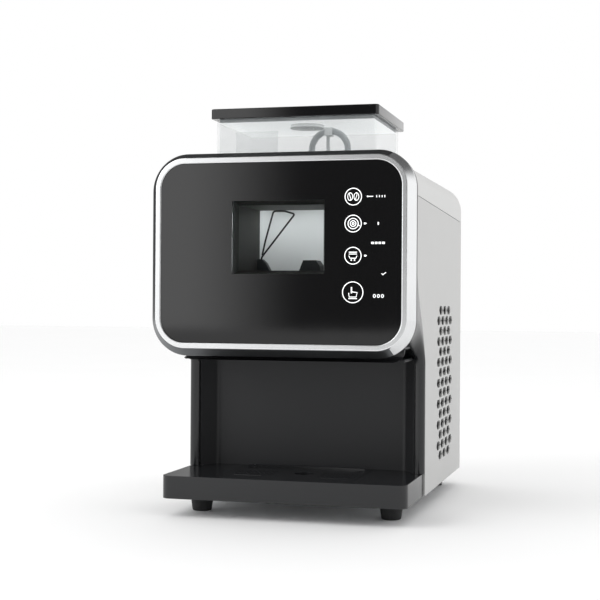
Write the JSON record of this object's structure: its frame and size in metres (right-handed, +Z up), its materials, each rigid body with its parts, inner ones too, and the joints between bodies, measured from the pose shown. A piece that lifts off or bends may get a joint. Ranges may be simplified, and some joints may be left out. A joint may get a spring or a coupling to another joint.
{
  "type": "hot coffee vending machine",
  "caption": "Countertop hot-coffee machine with framed glass fascia, view window, cup bay, drip tray, clear lift-off water tank and vented steel case.",
  "frame": {"origin": "centre of the bounding footprint at the underside of the feet", "axes": "+Z up, -Y is the front with the fascia and cup bay, +X is the viewer's right"},
  "size_m": [0.316, 0.426, 0.489],
  "materials": {
    "rubber": "matt",
    "steel": "satin",
    "charcoal_abs": "satin moulded",
    "grille_abs": "satin moulded",
    "black_abs": "matt moulded",
    "surround_abs": "matt moulded",
    "chrome_trim": "satin bright plate",
    "black_glass": "polished, back painted",
    "clear_glass": "polished",
    "circuit_board": "solder mask",
    "white_plastic": "satin",
    "black_wire": "satin",
    "canister_plastic": "satin",
    "nylon": "satin",
    "motor_metal": "satin",
    "grey_paint": "fine texture powder coat",
    "grey_cover": "fine texture",
    "dark_silicone": "matt",
    "clear_acrylic": "polished",
    "clear_silicone": "satin",
    "gloss_black_lid": "polished",
    "boiler_steel": "brushed",
    "brass": "machined"
  },
  "bodies": {
    "machine": {"rubber_feet": "rubber", "case_screws": "steel", "base_plate": "steel", "bulkhead": "steel", "upper_deck": "steel", "drip_base": "charcoal_abs", "bay_liner": "charcoal_abs", "header_grille": "black_abs", "front_housing": "charcoal_abs", "chrome_bezel": "chrome_trim", "fascia_carrier": "black_abs", "glass_panel": "black_glass", "window_pane": "clear_glass", "touch_board": "circuit_board", "window_surround": "surround_abs", "chamber_liner": "white_plastic", "wire_bracket": "black_abs", "flap_wire": "black_wire", "powder_nozzle": "black_abs", "powder_canister": "canister_plastic", "motor_bracket": "steel", "auger_motor": "motor_metal", "mixing_bowl": "white_plastic", "spout_nozzle": "black_abs", "whipper_motor": "motor_metal", "side_panel_left": "grey_paint", "side_panel_right": "grey_paint", "top_cover": "grey_cover", "hatch_seal": "dark_silicone", "rear_panel": "grey_paint", "tank_tray": "charcoal_abs", "tank_seat": "dark_silicone", "boiler": "boiler_steel", "boiler_bracket": "steel", "pump": "motor_metal", "solenoid_valve": "brass", "water_hoses": "clear_silicone", "control_board": "circuit_board", "power_board": "circuit_board", "fan_frame": "black_abs", "power_inlet": "black_abs", "switch_unit": "black_abs"},
    "water_tank": {"tank_shell": "clear_acrylic", "tank_baffle": "clear_acrylic", "tank_valve": "white_plastic", "hose_stand": "white_plastic", "return_hose": "clear_silicone"},
    "tank_cover": {"tank_lid": "gloss_black_lid", "lid_cap": "white_plastic", "lid_seal": "clear_silicone"},
    "pan": {"drip_pan": "charcoal_abs"},
    "grille": {"drip_grille": "grille_abs"},
    "hatch": {"powder_hatch": "grey_cover"},
    "fan": {"fan_rotor": "black_abs"},
    "auger": {"auger_screw": "nylon", "auger_gear": "nylon"},
    "agitator": {"agitator_wheel": "nylon", "agitator_gear": "nylon"},
    "whipper": {"whipper_impeller": "nylon"},
    "rocker": {"switch_rocker": "black_abs"}
  },
  "joints": [
    {"name": "tank_lift", "type": "slide", "parent": "machine", "child": "water_tank", "axis": [0, 0, 1], "range_m": [0, 0.1]},
    {"name": "lid_lift", "type": "slide", "parent": "water_tank", "child": "tank_cover", "axis": [0, 0, 1], "range_m": [0, 0.06]},
    {"name": "pan_lift", "type": "slide", "parent": "machine", "child": "pan", "axis": [0, 0, 1], "range_m": [0, 0.045]},
    {"name": "grille_lift", "type": "slide", "parent": "pan", "child": "grille", "axis": [0, 0, 1], "range_m": [0, 0.04]},
    {"name": "hatch_hinge", "type": "hinge", "parent": "machine", "child": "hatch", "pos_m": [0.01, 0.151, 0.4195], "axis": [-1, 0, 0], "range_deg": [0, 95]},
    {"name": "fan_spin", "type": "hinge", "parent": "machine", "child": "fan", "pos_m": [0.06, 0.195, 0.148], "axis": [0, 1, 0], "continuous": true},
    {"name": "auger_spin", "type": "hinge", "parent": "machine", "child": "auger", "pos_m": [0.01, 0.087, 0.294], "axis": [0, 1, 0], "continuous": true},
    {"name": "agitator_spin", "type": "hinge", "parent": "machine", "child": "agitator", "pos_m": [0.01, 0.087, 0.33], "axis": [0, 1, 0], "continuous": true},
    {"name": "whipper_spin", "type": "hinge", "parent": "machine", "child": "whipper", "pos_m": [0.01, -0.125, 0.239], "axis": [0, 1, 0], "continuous": true},
    {"name": "switch_rock", "type": "hinge", "parent": "machine", "child": "rocker", "pos_m": [-0.055, 0.207, 0.068], "axis": [-1, 0, 0], "range_deg": [0, 18]}
  ],
  "couplings": [
    {"joint": "auger_spin", "follows": "agitator_spin", "ratio": -2}
  ]
}
